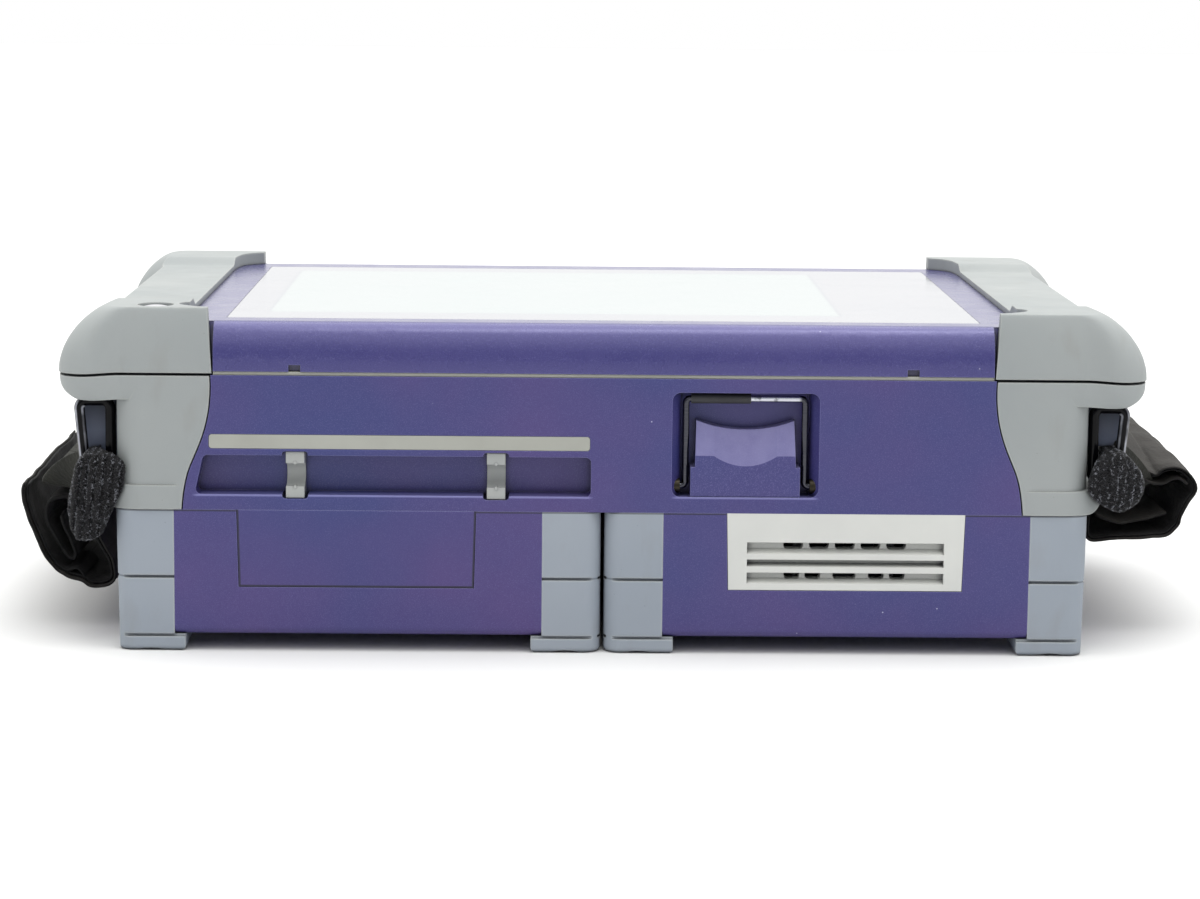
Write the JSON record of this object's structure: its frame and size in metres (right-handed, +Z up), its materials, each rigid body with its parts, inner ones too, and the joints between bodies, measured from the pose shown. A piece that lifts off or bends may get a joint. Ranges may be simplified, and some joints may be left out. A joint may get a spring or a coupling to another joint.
{
  "type": "optical time domain reflectometer",
  "caption": "Portable fibre tester lying on its back: touch-screen mainframe with rubber bumpers on two plug-in modules, folding bail, webbing handles, vent grille, capped optical ports",
  "frame": {"origin": "on the floor under the middle of the instrument, at the bottom centre of its bounding box", "axes": "+X to the right and +Y away as seen by somebody at the edge with the bail, +Z up out of the screen"},
  "size_m": [0.3572, 0.197, 0.1014],
  "materials": {
    "frame_paint": "fine metallic violet-blue paint",
    "case_paint": "satin violet-blue paint",
    "bumper_rubber": "soft matte warm grey",
    "guard_rubber": "soft matte cool grey",
    "window": "glossy clear panel",
    "display": "pale unlit display in a dark rim",
    "gasket": "matte beige grey",
    "strip": "matte beige grey",
    "button": "satin silver",
    "keeper": "satin violet-blue",
    "clips": "satin grey",
    "steel": "bright drawn wire",
    "zinc": "plated steel",
    "brass": "plain turned brass",
    "black_rubber": "matte black",
    "ring": "glossy black coated wire",
    "webbing": "black hook-and-loop webbing",
    "sleeve": "black nylon sleeve",
    "grille": "satin silver grey",
    "insert": "satin violet-blue paint",
    "sheet": "plated sheet",
    "battery": "dark shrink film",
    "board": "green solder mask",
    "black_plastic": "matte black",
    "connector_metal": "plated shell"
  },
  "bodies": {
    "mainframe": {"front_frame": "frame_paint", "touch_window": "window", "lcd_module": "display", "seam_gasket": "gasket", "front_bumper_right": "bumper_rubber", "front_bumper_left": "bumper_rubber", "power_switch": "black_plastic", "rear_case": "case_paint", "rear_bumper_right": "bumper_rubber", "rear_bumper_left": "bumper_rubber", "foot_strip": "strip", "stylus_pocket_back": "case_paint", "bail_recess_back": "case_paint", "connector_bay_back": "case_paint", "stylus_clips": "clips", "bail_keeper": "keeper", "bail_bushes": "brass", "strap_ring_near_right": "ring", "strap_ring_near_left": "ring", "strap_ring_far_right": "ring", "strap_ring_far_left": "ring", "strap_folds_left": "webbing", "strap_folds_right": "webbing", "battery_module_case": "case_paint", "battery_module_lid": "sheet", "battery_module_guards": "guard_rubber", "optical_module_case": "case_paint", "optical_module_lid": "sheet", "optical_module_guards": "guard_rubber", "blank_insert": "insert", "vent_grille": "grille", "fan_frame": "black_plastic", "battery_packs": "battery", "optical_board": "board", "laser_module": "sheet", "backplane_connectors": "black_plastic", "main_board": "board", "cover_hinge_pin": "zinc", "ethernet_jack": "connector_metal", "usb_ports": "connector_metal", "audio_jack": "black_plastic", "dc_inlet": "black_plastic", "optical_ports": "connector_metal", "case_screws": "zinc"},
    "power_button": {"power_button": "button"},
    "bail": {"bail_wire": "steel", "bail_sleeve": "black_rubber"},
    "handle_left": {"handle_webbing_left": "webbing", "handle_sleeve_left": "sleeve"},
    "handle_right": {"handle_webbing_right": "webbing", "handle_sleeve_right": "sleeve"},
    "interface_cover": {"interface_cover": "black_rubber"},
    "dust_cap_1": {"dust_cap_1": "black_rubber"},
    "dust_cap_2": {"dust_cap_2": "black_rubber"},
    "fan_rotor": {"fan_rotor": "black_plastic"}
  },
  "joints": [
    {"name": "power_button_press", "type": "slide", "parent": "mainframe", "child": "power_button", "axis": [0, 0, -1], "range_m": [0, 0.0012], "stiffness_N_per_m": 600, "springref_m": -0.0004},
    {"name": "bail_swing", "type": "hinge", "parent": "mainframe", "child": "bail", "pos_m": [0.0416, -0.0906, 0.0499], "axis": [1, 0, 0], "range_deg": [0, 105]},
    {"name": "handle_left_swing", "type": "hinge", "parent": "mainframe", "child": "handle_left", "pos_m": [-0.1535, 0, 0.0474], "axis": [0, 1, 0], "range_deg": [0, 20]},
    {"name": "handle_right_swing", "type": "hinge", "parent": "mainframe", "child": "handle_right", "pos_m": [0.1535, 0, 0.05455], "axis": [0, -1, 0], "range_deg": [0, 20]},
    {"name": "interface_cover_swing", "type": "hinge", "parent": "mainframe", "child": "interface_cover", "pos_m": [-0.01, 0.0915, 0.052], "axis": [-1, 0, 0], "range_deg": [0, 90]},
    {"name": "dust_cap_1_pull", "type": "slide", "parent": "mainframe", "child": "dust_cap_1", "axis": [0, 1, 0], "range_m": [0, 0.025]},
    {"name": "dust_cap_2_pull", "type": "slide", "parent": "mainframe", "child": "dust_cap_2", "axis": [0, 1, 0], "range_m": [0, 0.025]},
    {"name": "fan_spin", "type": "hinge", "parent": "mainframe", "child": "fan_rotor", "pos_m": [0.0715, -0.0811, 0.0224], "axis": [0, 1, 0], "continuous": true}
  ]
}
